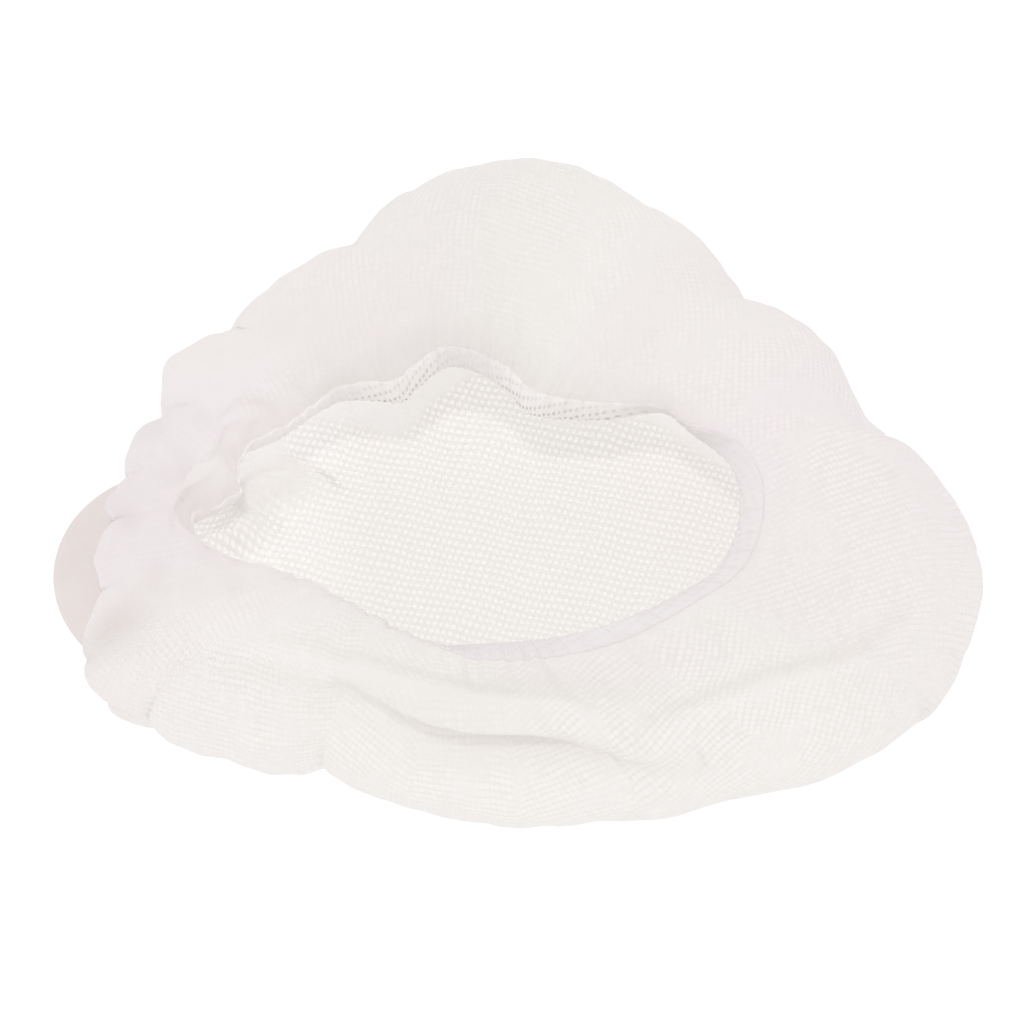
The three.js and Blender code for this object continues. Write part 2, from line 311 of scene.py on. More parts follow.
# %% [markdown]
# ## Gathers
#
# An elastic draws about three times its own length of net together. That gives fine pleats at the
# band, which run together into fewer and larger folds further away. Round turn 180, where the band
# is bunched most, the large folds are deeper and reach further.

# %% Gathers
FINE_PLEATS, LARGE_FOLDS = 74, 31


def gathers(turn, along):
    """Height in millimetres that the drawn-in cloth adds to the surface."""
    lap = circle(turn, 60)
    climbing = np.stack([0 * along, 0 * along, 90 * along], axis=-1)
    wander = ripples(lap + climbing, 14, 60, 14, 3)
    angle = np.radians(turn)
    uneven = 0.75 + 0.45 * ripples(lap, 9, 40, 12, 8)
    bunched = hump(turn, 180, 26)
    fine = np.cos(FINE_PLEATS * angle + 3.2 * wander) * np.exp(-along / 0.085)
    fine = fine * (0.6 - 0.35 * between(turn, 190, 205, 270, 290))
    large = np.cos(LARGE_FOLDS * angle + 2.6 * wander)
    large = large * hump(along, 0.12 + 0.1 * bunched, 0.13 + 0.12 * bunched)
    return (fine + large * (0.8 + 1.6 * bunched)) * uneven


gathered = gathers(turn, along)
print("gathers from", round(gathered.min(), 2), "to", round(gathered.max(), 2), "mm")

# %% [markdown]
# ## Ridges, lumps and a crevice
#
# Some forms have a place of their own: two soft ridges where cloth is folded over inside, a few
# lumps on the lower billows, and a narrow crevice beside the peak. They could be painted in sculpt
# mode. A row of a table does the same and can be moved later. A ridge is a line from one turn to
# another, with a soft hump across it.

# %% Forms with a place of their own
RIDGES = (  # from, to, along at both ends, dip between, half width, height
    (203, 311, 0.335, 0.37, 0.035, 0.035, 1.0), (300, 352, 0.47, 0.42, 0.12, 0.035, 2.4))
LUMPS = (  # turn, half width in turn, height, on the lower side of the pouch
    (214, 5, 2.5), (357, 5, 3), (14, 3, 3.5), (234, 3, -3), (303, 6, 2), (108, 4, -1.5),
    (339, 3, 1.5))
CREVICE_DEPTH = 2


def on_lines(table, turn, along):
    """How much a point lies on one of the table's lines, 0 to 1, and the height or depth there."""
    top, height = 0 * along, 0 * along
    for start, end, first, last, dip, half, high in table:
        way_along = share(turn, start, end)
        line = first + (last - first) * way_along - dip * np.sin(math.pi * way_along)
        one = np.sin(math.pi * way_along) ** 0.5 * hump(along, line, half)
        top, height = np.maximum(top, one), height + high * one
    return top, height


ridge_top, ridge_height = on_lines(RIDGES, turn, along)
crevice = hump(turn, 199, 4) * hump(along, 0.46, 0.08)
lift = gathered + ridge_height - CREVICE_DEPTH * crevice
for middle, half, high in LUMPS:
    aside = np.mod(turn - middle + 180, 360) - 180
    lift += high * hump(aside, 0, half) * hump(along, 0.6, 0.1)
print("all the folds together from", round(lift.min(), 2), "to", round(lift.max(), 2), "mm")

# %% [markdown]
# ## Push the folds out
#
# The smooth pouch is set into the mesh first, to ask Blender for its normals: the direction
# straight out of the cloth at each point. Every fold is then a move along that direction. The net
# on the floor is nearly flat. On one side it rises under the rim as a soft flap, and nowhere does
# it sink below the ground.

# %% Push the folds out along the surface
FLAP_RISE = 11  # millimetres
LOWEST = 0.15  # the cloth's least height over the ground


def normals_of(mesh):
    """The direction straight out of the surface at each point."""
    out = np.empty(len(mesh.vertices) * 3)
    mesh.vertices.foreach_get("normal", out)
    return out.reshape(-1, 3)


def set_points(mesh, points):
    """Move the mesh's points to these places, given in millimetres."""
    mesh.vertices.foreach_set("co", (points * MM).ravel())
    mesh.update()


base = place(turn, reach, rise)
set_points(crown_mesh, base)
outward = -normals_of(crown_mesh)  # the grid's faces look into the cap
bunched = hump(turn, 178, 24) * share(along, FOOT, SIDE)
soft = 1.3 * ripples(base, 22, 60, 26, 5) + 0.45 * ripples(base, 7, 18, 40, 6)
soft += 1.1 * bunched * ripples(base, 7, 20, 30, 21)
on_wall = share(along, FOOT, FOOT - 0.1)
push = lift * on_wall + soft * (0.25 + 0.75 * on_wall)
folded = base + outward * push[:, None]
flap = between(turn, 138, 152, 184, 200) * (along > FOOT) * hump(reach, around(HEM, 1, turn) - 2, 8)
folded[:, 2] += FLAP_RISE * flap
ground = LOWEST + 0.25 * (1 + ripples(base, 12, 40, 20, 9))
folded[:, 2] = np.maximum(folded[:, 2], ground)
set_points(crown_mesh, folded)
print("crown spans, mm:", folded.min(axis=0).round(1), folded.max(axis=0).round(1))

# %% [markdown]
# ## A map of the cloth
#
# The net's holes must keep their size all over the cap, so the material needs to know where each
# point was on the flat cloth. A closed pouch can't be laid flat without stretching it, so we open
# it as a pattern cutter would: the floor stays whole, and the wall is cut into strips that fan out
# from it. The cuts lie in the creases between two billows, where real cloth disappears in a fold.
#
# First comes a coarse grid of each strip, as it stands on the cap.

# %% The strips of the wall as they stand
STRIPS = np.array([15, 42, 65, 88, 111, 138, 156, 171, 180, 192, 201, 210, 237, 258, 279, 300,
                   320, 339, 375], float)
ROWS, COLUMNS = 40, 11
SLACK = 0.2  # the wall hangs slack, so its stitches lie this much closer than on the taut floor

row_along = np.linspace(FOOT, 0, ROWS)
column_turn = STRIPS[:-1, None] + np.diff(STRIPS)[:, None] * np.linspace(0, 1, COLUMNS)
column_turn = np.repeat(column_turn[:, None, :], ROWS, axis=1)
strip_reach, strip_rise = section(column_turn, row_along[None, :, None])
standing = place(column_turn, strip_reach, strip_rise)
step_up = np.linalg.norm(np.diff(standing, axis=1), axis=-1)
climbed = np.concatenate([0 * step_up[:, :1], np.cumsum(step_up, axis=1)], axis=1)
way_up = strip_reach[:, :1] + climbed
to_hem = way_up[:, -1]
print("from the middle to the hem:", to_hem.min().round(), "to", to_hem.max().round(), "mm")

# %% [markdown]
# ## Press the strips flat
#
# Each small triangle of a strip would like to keep its size and shape, and may only turn. So each
# one is first laid flat by itself, with two corners on a line. Every side then pulls at its two
# ends, more weakly the wider the angle opposite. "stiff" holds the pulls between all the points of
# a strip, as a table with one row and one column for each.

# %% Every triangle laid flat by itself
cell = (np.arange(ROWS - 1)[:, None] * COLUMNS + np.arange(COLUMNS - 1)).ravel()
triangle = np.concatenate([np.stack([cell, cell + COLUMNS, cell + 1], axis=1),
                           np.stack([cell + 1, cell + COLUMNS, cell + COLUMNS + 1], axis=1)])
which = np.arange(len(STRIPS) - 1)[:, None]
corners = standing.reshape(len(which), -1, 3)[:, triangle]
first, second = corners[:, :, 1] - corners[:, :, 0], corners[:, :, 2] - corners[:, :, 0]
length = np.linalg.norm(first, axis=-1)
beside = (first * second).sum(-1) / length
above = np.sqrt((second**2).sum(-1) - beside**2)
own = np.zeros(corners.shape[:3] + (2,))  # each triangle laid flat by itself
own[:, :, 1, 0], own[:, :, 2, 0], own[:, :, 2, 1] = length, beside, above

points = ROWS * COLUMNS
stiff = np.zeros((len(which), points, points))
sides = []
for k in range(3):
    start, end, opposite = own[:, :, k], own[:, :, (k + 1) % 3], own[:, :, (k + 2) % 3]
    weight = np.clip(((start - opposite) * (end - opposite)).sum(-1) / (length * above), 0.05, 20)
    here, there = triangle[:, k], triangle[:, (k + 1) % 3]
    sides.append((here, there, weight[..., None], start - end))
    for row, column, sign in ((here, here, 1), (there, there, 1),
                              (here, there, -1), (there, here, -1)):
        np.add.at(stiff, (which, row, column), sign * weight)
print(len(which), "strips with", len(triangle), "triangles each")

# %% [markdown]
# ## Turn and settle
#
# Blender's own unwrapping gives a good map too, but it chooses the turn and scale of each island
# itself. Here each triangle picks the turn that suits it best, then all the points move to where
# they agree best with those turns, and this is repeated until hardly anything moves. The foot of
# a strip is held, as it stays joined to the floor.

# %% Turn and settle, again and again
ROUNDS = 80

angle = np.radians(column_turn).reshape(len(which), -1)
pressed = way_up.reshape(len(which), -1, 1) * np.stack([np.cos(angle), np.sin(angle)], axis=-1)
held, free = slice(0, COLUMNS), slice(COLUMNS, None)
settle = np.linalg.inv(stiff[:, free, free])
for _ in range(ROUNDS):
    fit = 0  # cosine and sine of each triangle's turn
    for here, there, weight, side in sides:
        now = pressed[:, here] - pressed[:, there]
        fit = fit + weight * np.stack([(now * side).sum(-1), side[..., 0] * now[..., 1]
                                       - side[..., 1] * now[..., 0]], axis=-1)
    fit = fit / np.linalg.norm(fit, axis=-1, keepdims=True)
    pull = np.zeros_like(pressed)
    for here, there, weight, side in sides:
        turned = np.stack([fit[..., 0] * side[..., 0] - fit[..., 1] * side[..., 1],
                           fit[..., 1] * side[..., 0] + fit[..., 0] * side[..., 1]], axis=-1)
        np.add.at(pull, (which, here), weight * turned)
        np.add.at(pull, (which, there), -weight * turned)
    before = pressed[:, free].copy()
    pressed[:, free] = settle @ (pull[:, free] - stiff[:, free, held] @ pressed[:, held])
last_move = np.abs(pressed[:, free] - before).max()
print("the last round moved no point more than", last_move.round(3), "mm")

# %% [markdown]
# ## From the strips to the mesh
#
# A face takes the strip that its middle lies in, so two neighbours may use different strips, and
# the map is stored for each corner of a face. Between the points of the coarse grid it runs evenly.
# Outside the strips, on the floor, the cloth lies as it was cut.

# %% The flat place of each corner
corner_vertex = np.empty(len(crown_mesh.loops), int)
crown_mesh.loops.foreach_get("vertex_index", corner_vertex)
face_square = square[corner_vertex.reshape(-1, 4)].mean(axis=1)
face_turn, _ = disc_from_square(face_square[:, 0], face_square[:, 1])
face_turn = np.where(face_turn < STRIPS[0], face_turn + 360, face_turn)
strip = np.repeat(np.searchsorted(STRIPS, face_turn, side="right") - 1, 4)
strip_start, strip_end = STRIPS[strip], STRIPS[strip + 1]
from_start = np.mod(turn[corner_vertex] - strip_start + 90, 360) - 90
column = from_start / (strip_end - strip_start) * (COLUMNS - 1)
row = (FOOT - along[corner_vertex]) / FOOT * (ROWS - 1)
c0, r0 = np.clip(column.astype(int), 0, COLUMNS - 2), np.clip(row.astype(int), 0, ROWS - 2)
fc, fr = (column - c0)[:, None], (row - r0)[:, None]
pressed = pressed.reshape(len(which), ROWS, COLUMNS, 2)
on_strip = ((pressed[strip, r0, c0] * (1 - fc) + pressed[strip, r0, c0 + 1] * fc) * (1 - fr)
            + (pressed[strip, r0 + 1, c0] * (1 - fc) + pressed[strip, r0 + 1, c0 + 1] * fc) * fr)
on_floor = (place(turn, reach, rise)[:, :2] - CENTRE)[corner_vertex]
relaxed = 1 + SLACK * share(along[corner_vertex], FOOT, SIDE)[:, None]
cut = np.where(row[:, None] < 0, on_floor, on_strip * relaxed) * MM
print(len(STRIPS) - 1, "strips of net, flat size", np.ptp(cut, axis=0).round(3), "m")

# %% [markdown]
# ## Two maps on one mesh
#
# A mesh can carry several maps. "cut" is the flat cloth in metres, on which the stitches are drawn.
# "OFBake" is the square that the disc was made from: no two faces share a place there, so colours
# can be baked into it.

# %% Store the maps
cut_map = crown_mesh.uv_layers.new(name="cut")
cut_map.data.foreach_set("uv", cut.ravel())
bake_map = crown_mesh.uv_layers.new(name="OFBake")
bake_map.data.foreach_set("uv", (0.5 + 0.499 * square[corner_vertex, :2]).ravel())
crown_mesh.polygons.foreach_set("use_smooth", np.ones(len(crown_mesh.polygons), bool))
print("maps of the crown:", [layer.name for layer in crown_mesh.uv_layers])

# %% [markdown]
# ## Zones of the cap
#
# One and the same net looks different from place to place. Pulled flat on the floor it shows its
# holes, and bunched at the hem it closes. Where it lies over itself, in the folds and under the
# rim, it is in shade, and that shade is painted into its colour. We have one thin sheet, so we mark
# these zones ourselves, each with a number from 0 to 1 on every point.

# %% Zones
FLOOR_FOLD = np.array([  # turn, reach: the net lies double on the floor from here outwards
    (20, 94), (32, 85), (46, 80), (63, 63), (76, 67), (87, 74), (98, 67), (114, 57), (127, 72),
    (138, 79), (144, 70), (153, 66), (160, 78), (175, 96), (270, 110)], float)
SHADED_HEM = np.array([  # turn, how far from the hem the net lies gathered over itself, a strip painted in shade
    (20, 0.02), (42, 0.02), (88, 0.025), (98, 0.03), (105, 0.065), (116, 0.085), (126, 0.06),
    (136, 0.02), (155, 0.03), (270, 0.01)], float)
TOP_OF_WALL = 0.62  # the part of the wall that is seen from above

wall = along < FOOT
upper_wall = along < TOP_OF_WALL
far_side = between(turn, 28, 42, 132, 146)
upper_left = hump(turn, 143, 16) * share(along, 0.2, 0.35) * upper_wall
below_band = between(turn, 270, 288, 320, 335) * share(along, 0.24, 0.1)
patch = hump(turn, 212, 14) * hump(along, 0.4, 0.1)  # an open patch on the lower left
doubled = share(reach - around(FLOOR_FOLD, 1, turn), -1, 2) * ~wall * (turn > 20) * (turn < 175)
flap_fold = flap * share(turn, 170, 158)
near_side = np.maximum(share(turn, 278, 292), share(turn, 20, 8))
crisp = near_side * between(along, 0.02, 0.07, 0.4, 0.56)  # where single stitches show on the wall
crisp = np.maximum(crisp, 0.6 * between(turn, 60, 75, 104, 118) * share(along, 0.25, 0.35) * wall)
hem_depth = around(SHADED_HEM, 1, turn)
# a strip of painted shade along the hem
hem_shade = share(along, hem_depth + 0.07, hem_depth - 0.01)
corner = hump(turn, 170, 14) * share(along, 0.36, 0.2)
print("doubled net on", round(100 * doubled.mean(), 1), "% of the points, bunched net on",
      round(100 * bunched.mean(), 1), "%")

# %% [markdown]
# ## How far the holes are shut, and how clear
#
# Gathered cloth closes its holes by itself. "shut" makes a hole smaller, down to nothing near 1,
# or larger where it is below 0. "open" says how far one sees the floor through the holes that are
# left: much where the net is a single layer, little where there is more net behind it.

# %% Shut and open
near_band = np.exp(-along / 0.05)
shut = (near_band + 1.3 * bunched + 0.5 * upper_left + 0.3 * far_side * (along < SIDE)
        + 0.2 * share(along, 0.72, 0.68) + 0.9 * ridge_top + doubled + 1.3 * flap_fold
        - 0.45 * patch - 0.7 * crisp)
open_net = 0.02 + 0.32 * share(along, FOOT - 0.04, FOOT + 0.03) + 0.2 * patch
open_net += 0.04 * share(turn, 325, 340) * (along < SIDE)
print("shut from", shut.min().round(2), "to", shut.max().round(2),
      "and open from", open_net.min().round(2), "to", open_net.max().round(2))

# %% [markdown]
# ## Painted shade and tint
#
# The painted shade darkens the cloth's colour where more cloth lies behind, near the far hem, under
# the band, in the gathers, in the pockets of the folds and the crevice, and on the floor where the
# rim keeps the light away. "cool" is a very faint lavender tint on the bunched net, below the band
# and on parts of the wall.

# %% Painted shade and tint
POCKETS = (  # from, to, along at both ends, dip between, half width, depth of shade
    (232, 312, 0.37, 0.48, 0, 0.028, 0.5), (214, 300, 0.26, 0.29, 0.04, 0.035, 0.4),
    (214, 250, 0.40, 0.42, 0.02, 0.02, 0.25), (262, 318, 0.2, 0.2, 0, 0.08, 0.4),
    (302, 350, 0.40, 0.36, 0.12, 0.025, 0.4))

_, pocket = on_lines(POCKETS, turn, along)
from_middle = base[:, :2] - CENTRE
# how much painted shade the floor net gets: less towards the far side and the left, where the rim's
# real shade already falls
sunlit = 1 - 0.3 * share(from_middle[:, 1], 25, 55) - 0.5 * share(-from_middle[:, 0], 30, 60)
# painted shade on the upper part of the far wall
behind = 0.06 + 0.08 * share(turn, 60, 85) + 0.2 * share(along, 0.5, 0.3) * share(turn, 40, 85)
# painted shade near the far hem, below the band, on the upper left, in the bunched gathers, on the
# floor net, in the pockets of the folds, in the crevice and on the far upper wall
layers = (0.1 + 0.22 * far_side) * hem_shade + 0.12 * below_band + 0.1 * upper_left + 0.15 * bunched
layers += share(along, FOOT, 0.76) * (0.92 - 0.34 * doubled) * sunlit + 0.25 * flap_fold
layers += pocket + 0.9 * crevice + far_side * upper_wall * behind
# painted shade in patches over the bunched gathers, standing in for the shading of their lumps
layers += 0.4 * bunched * np.clip(ripples(base, 10, 32, 24, 41), 0, 1)
layers *= 1 - corner
# more painted shade on the wall on the right, from turn 325 round to 62
layers += 0.14 * (share(turn, 62, 50) + share(turn, 325, 340)) * wall

cloudy = np.clip(0.65 + 0.8 * ripples(base, 24, 70, 20, 31), 0, 1)
cool_sides = (0.7 * between(turn, 80, 110, 190, 215) + 1.1 * share(turn, 62, 40)
              + 0.75 * share(turn, 335, 350))
cool = 0.8 * bunched + 0.6 * below_band + (0.25 + 0.75 * cloudy) * wall * cool_sides
cool *= 1 - 0.8 * corner

for name, value in (("shut", np.clip(shut, -0.9, 1.2)), ("layers", np.clip(layers, 0, 1)),
                    ("open", open_net), ("cool", np.clip(cool, 0, 1))):
    crown_mesh.attributes.new(name, "FLOAT", "POINT").data.foreach_set("value", value)
    print(name, "is", value.mean().round(2), "on average")

# %% [markdown]
# ## The elastic band
#
# The band is a narrow tube of doubled net with an elastic inside, which pulls it into small
# puckers. A curve with a bevel would be quick, but its section is the same all round. We describe
# the flat, puckered section ourselves. Where the folds of the net move the hem, the band follows.

# %% The band's surface
BAND_WIDTH, BAND_THICKNESS = 8.0, 2.2
PUCKERS = 150
SEAM = 0.6  # millimetres by which the band laps over the hem

hem_points = np.flatnonzero(ring > 0.9999)
hem_points = hem_points[np.argsort(turn[hem_points])]
hem_turn, hem_shift = turn[hem_points], (folded - base)[hem_points]


def band_points(turn, angle):
    """The casing's surface: turn round the opening, angle round the tube."""
    hem_reach, hem_rise = section(turn, 0.0)
    follow = np.stack([np.interp(turn, hem_turn, shift, period=360) for shift in hem_shift.T], -1)
    lay = np.radians(around(HEM, 3, turn))
    wander = ripples(circle(turn, 60), 8, 50, 16, 12)
    pucker = np.cos(PUCKERS * np.radians(turn) + 3 * wander) * (0.75 + 0.5 * wander)
    width = BAND_WIDTH * (1 + 0.05 * wander) + 0.35 * pucker
    out = (width / 2) * (1 - np.cos(angle)) - SEAM
    edge = np.abs(np.sin(angle)) ** 0.8 * np.sign(np.sin(angle))
    off = (BAND_THICKNESS / 2) * edge + pucker * 0.32 * (0.4 + 0.6 * np.abs(np.sin(angle)))
    off = off + 0.8 * wander * out / BAND_WIDTH
    reach = hem_reach + np.cos(lay) * out - np.sin(lay) * off
    rise = hem_rise + np.sin(lay) * out + np.cos(lay) * off
    return place(turn, reach, rise) + follow * (1 - out / BAND_WIDTH)[:, None]


print("the hem was moved by up to", np.linalg.norm(hem_shift, axis=1).max().round(1), "mm")

# %% [markdown]
# ## Roll the band
#
# A flat grid is rolled up: one direction runs round the opening, the other round the tube. Before
# that, each corner gets its place on the flat tape, so the net's stitches run along it. Where the
# grid's ends meet, their doubles are merged. So the tube is closed, and its faces can be turned
# outwards.

# %% Roll a grid into the band
BAND_LAPS, BAND_ROUND = 900, 22
TAPE = (0.45, 0.018)  # metres round the opening and round the tube

bm = bmesh.new()
bmesh.ops.create_grid(bm, x_segments=BAND_LAPS, y_segments=BAND_ROUND, size=0.5)
band_uv = bm.loops.layers.uv.new("cut")
for face in bm.faces:
    for loop in face.loops:
        x, y, _ = loop.vert.co
        loop[band_uv].uv = ((x + 0.5) * TAPE[0], (y + 0.5) * TAPE[1])
flat = np.array([v.co for v in bm.verts])
rolled = band_points((flat[:, 0] + 0.5) * 360, (flat[:, 1] + 0.5) * 2 * math.pi) * MM
for vertex, spot in zip(bm.verts, rolled):
    vertex.co = spot
bmesh.ops.remove_doubles(bm, verts=bm.verts[:], dist=1e-6)
bmesh.ops.recalc_face_normals(bm, faces=bm.faces[:])
band_mesh = bpy.data.meshes.new("band_casing")
bm.to_mesh(band_mesh)
bm.free()
band_mesh.polygons.foreach_set("use_smooth", np.ones(len(band_mesh.polygons), bool))
print("band:", 2 * len(band_mesh.polygons), "triangles, spans",
      (np.ptp(rolled, axis=0) / MM).round(1), "mm")

# %% [markdown]
# ## Where the band lies in shade
#
# At the far side the band hangs in front of the dark space inside the billows, and its holes show.
# Round turn 170, where it lies on pale, bunched net, it is painted paler, as if lit. Both are
# stored on the points for the material.

# %% Shade on the band
BAND_DEPTH = np.array([  # turn, how deep the band lies in shade, 0 to 1
    (5, 0.35), (28, 0.2), (40, 1), (75, 1), (86, 0.4), (97, 0.55), (105, 1), (124, 1),
    (132, 0.4), (142, 0.3), (180, 0.2), (280, 0.3), (330, 0.4)], float)

spots = np.empty(len(band_mesh.vertices) * 3)
band_mesh.vertices.foreach_get("co", spots)
spots = spots.reshape(-1, 3) / MM
band_turn = np.degrees(np.arctan2(spots[:, 1] - CENTRE[1], spots[:, 0] - CENTRE[0]))
band_turn = np.mod(band_turn, 360)
depth = np.clip(around(BAND_DEPTH, 1, band_turn), 0, 1)
# painted light that lifts the band's real shade round turn 170
bright = between(band_turn, 126, 140, 200, 212)
for name, value in (("depth", depth), ("bright", bright)):
    band_mesh.attributes.new(name, "FLOAT", "POINT").data.foreach_set("value", value)
    print(name, "is", value.mean().round(2), "on average")

# %% [markdown]
# ## The peak
#
# The peak is a small half-round plate covered in plain cloth. Only its edge is seen, because it
# slips under the gathers. A flat grid is bent into its middle surface: one side follows the wall of
# the pouch, the other a circle, and it droops a little. Its thickness comes later, from modifiers.

# %% Peak
PEAK = {"x": -106.2, "y": -24.9, "radius": 37.0, "rise": 20.0, "droop": 5.0, "thickness": 2.2}
PEAK_TURNS = (165.0, 198.0)
ROOT_GAP, EDGE_GAP = 0.9, 0.6  # millimetres kept free at the wall and for the rounded edge
lo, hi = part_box("peak")
print("room for the peak, mm:", [round(v / MM, 1) for v in lo], [round(v / MM, 1) for v in hi])


def peak_surface(u, t):
    """A point of the peak's middle surface: u from end to end, t from the root to the edge."""
    turn = PEAK_TURNS[0] + (PEAK_TURNS[1] - PEAK_TURNS[0]) * u
    samples = np.linspace(SIDE, FOOT, 121)
    wall_reach, wall_rise = section(turn[:, None], samples[None, :])
    near = abs(wall_rise - PEAK["rise"]) < PEAK["thickness"] + 1
    root = np.where(near, wall_reach, 0).max(axis=1) + ROOT_GAP
    offset = (PEAK["x"] - CENTRE[0], PEAK["y"] - CENTRE[1])
    far = math.hypot(*offset)
    tilt = np.radians(turn) - (math.atan2(offset[1], offset[0]) + 2 * math.pi)
    edge = far * np.cos(tilt) + np.sqrt(PEAK["radius"] ** 2 - (far * np.sin(tilt)) ** 2)
    reach = root + (edge - EDGE_GAP - root) * t
    return place(turn, reach, PEAK["rise"] - PEAK["droop"] * t**2)


bm = bmesh.new()
bmesh.ops.create_grid(bm, x_segments=110, y_segments=44, size=0.5)
flat = np.array([v.co for v in bm.verts]) + 0.5
bent = peak_surface(flat[:, 0], flat[:, 1]) * MM
for vertex, spot in zip(bm.verts, bent):
    vertex.co = spot
bmesh.ops.recalc_face_normals(bm, faces=bm.faces[:])
peak_mesh = bpy.data.meshes.new("peak_cloth")
bm.to_mesh(peak_mesh)
bm.free()
peak_mesh.polygons.foreach_set("use_smooth", np.ones(len(peak_mesh.polygons), bool))
print("peak spans", (np.ptp(bent, axis=0) / MM).round(1), "mm")

# %% [markdown]
# ## Objects
#
# Each mesh becomes one object at the origin. It rides on the only body and replaces the solid that
# held its room.

# %% Make the objects


def piece(name, mesh, node):
    """One visible piece that rides with the cap and stands for a packed solid."""
    obj = bpy.data.objects.new(name, mesh)
    bpy.context.scene.collection.objects.link(obj)
    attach(obj, "root")
    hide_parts(node)
    return obj


crown = piece("crown_net", crown_mesh, "crown")
band = piece("elastic_band", band_mesh, "band")
peak = piece("peak_plate", peak_mesh, "peak")
print([obj.name for obj in (crown, band, peak)])

# %% [markdown]
# ## Thickness of the peak
#
# Solidify gives the middle surface its upper and lower face, half the thickness to each side. Bevel
# then rounds the sharp rim between them, as cloth does round a stiff inlay. Both stay as modifiers,
# so the thickness can still be changed.

# %% Two faces and a soft edge
two_faces = peak.modifiers.new("two faces", "SOLIDIFY")
two_faces.thickness = 1.7 * MM
two_faces.offset = 0
two_faces.use_even_offset = True
soft_edge = peak.modifiers.new("soft edge", "BEVEL")
soft_edge.width = 0.7 * MM
soft_edge.segments = 4
soft_edge.limit_method = "ANGLE"
print("peak:", [modifier.name for modifier in peak.modifiers])

# %% [markdown]
# ## Writing materials as sums
#
# A material is a network of nodes. Long networks are easier to read as formulas, so a small class
# wraps a socket: adding or multiplying two of them adds the Math node for it.

# %% A socket that can be calculated with


class Value:
    """One output of a node, as a term of a formula."""

    def __init__(self, maker, socket):
        self.maker, self.socket = maker, socket

    def math(self, operation, *others):
        """A Math node with this value in its first socket and the others in the next."""
        values = dict(enumerate((self, *others)))
        return self.maker.node("ShaderNodeMath", {"operation": operation}, values)[0]

    def __add__(self, other): return self.math("ADD", other)
    def __sub__(self, other): return self.math("SUBTRACT", other)
    def __mul__(self, other): return self.math("MULTIPLY", other)
    def __pow__(self, other): return self.math("POWER", other)
    def __rsub__(self, other): return (self * -1) + other
    __radd__, __rmul__ = __add__, __mul__

    def ramp(self, low, high):
        """0 below low, 1 above high, smooth between."""
        settings = {"interpolation_type": "SMOOTHSTEP", "clamp": True}
        limits = {"Value": self, "From Min": low, "From Max": high}
        return self.maker.node("ShaderNodeMapRange", settings, limits)[0]


print("a socket also knows:", [name for name in vars(Value) if not name.startswith("_")])

# %% [markdown]
# ## One way to add a node
#
# Every other node is made by one method: its settings are set first, because they decide which
# sockets it has, and then each socket gets a number, a colour or a link. What is the same all over
# a piece is set on the shader's own socket.

# %% A material and its nodes


class Maker:
    """A new material, and one way to add any node to it."""

    def __init__(self, name, **fixed):
        self.material = bpy.data.materials.new(name)
        self.material.use_nodes = True
        self.tree = self.material.node_tree
        self.shader = self.tree.nodes["Principled BSDF"]
        for key, value in fixed.items():
            self.shader.inputs[key.replace("_", " ")].default_value = value

    def node(self, kind, settings={}, inputs={}):
        """Any node: its type, its settings, then the values or links of its sockets."""
        made = self.tree.nodes.new(kind)
        for key, value in settings.items():
            setattr(made, key, value)
        for key, value in inputs.items():
            if isinstance(value, Value):
                self.tree.links.new(value.socket, made.inputs[key])
            else:
                made.inputs[key].default_value = value
        return [Value(self, socket) for socket in made.outputs]

    def read(self, name):
        """A number that is stored on the points of the piece."""
        return self.node("ShaderNodeAttribute", {"attribute_name": name})[2]

    def mix(self, factor, dark, light):
        """The dark colour where the factor is 0, the light one where it is 1."""
        settings = {"data_type": "RGBA"}
        return self.node("ShaderNodeMix", settings, {0: factor, 6: dark, 7: light})[2]

    def tint(self, factor, base, by):
        """Dye a colour with another, as far as the factor says."""
        settings = {"data_type": "RGBA", "blend_type": "MULTIPLY"}
        return self.node("ShaderNodeMix", settings, {0: factor, 6: base, 7: by})[2]

    def bump(self, strength, distance, height):
        """Fine relief that bends the light without changing the mesh."""
        values = {"Strength": strength, "Distance": distance, "Height": height}
        return self.node("ShaderNodeBump", {}, values)[0]

    def feed(self, name, value):
        """Let a value decide one of the main shader's inputs."""
        self.tree.links.new(value.socket, self.shader.inputs[name])

    def glow_through(self, base, normal, part):
        """Thin cloth: this part of what it shows is light that comes through from behind."""
        behind = self.node("ShaderNodeBsdfTranslucent", {}, {"Color": base, "Normal": normal})[0]
        front = Value(self, self.shader.outputs[0])
        return self.node("ShaderNodeMixShader", {}, {0: part, 1: front, 2: behind})[0]

    def show(self, shader):
        """Let a mixed shader be what the material shows."""
        output = self.tree.nodes["Material Output"]
        self.tree.links.new(shader.socket, output.inputs["Surface"])


def colour(*screen):
    """A linear colour from the three values of 0 to 255 that a screen shows."""
    return tuple(((v / 255 + 0.055) / 1.055) ** 2.4 for v in screen) + (1,)


print("a soft white is", [round(v, 3) for v in colour(236, 231, 229)])

# %% [markdown]
# ## Stitches
#
# A warp-knitted net has one small round hole for each stitch. Its stitches stand in rows, each row
# moved on by a fifth of a stitch. Cutting all these holes in the mesh would be far too heavy, so
# the material finds the nearest stitch on the flat cloth. Two steps, from hole to hole and from row
# to row, span the whole pattern: rounding the number of steps gives the nearest hole.

# %% Find the nearest stitch
STITCH = (2.015, -0.465)  # millimetres from one hole to the next in a row
NEXT_ROW = (-0.93, -2.33)  # and to the next row
HOLE = 0.66  # radius of a hole
scale = 1 / (STITCH[0] * NEXT_ROW[1] - STITCH[1] * NEXT_ROW[0]) / MM


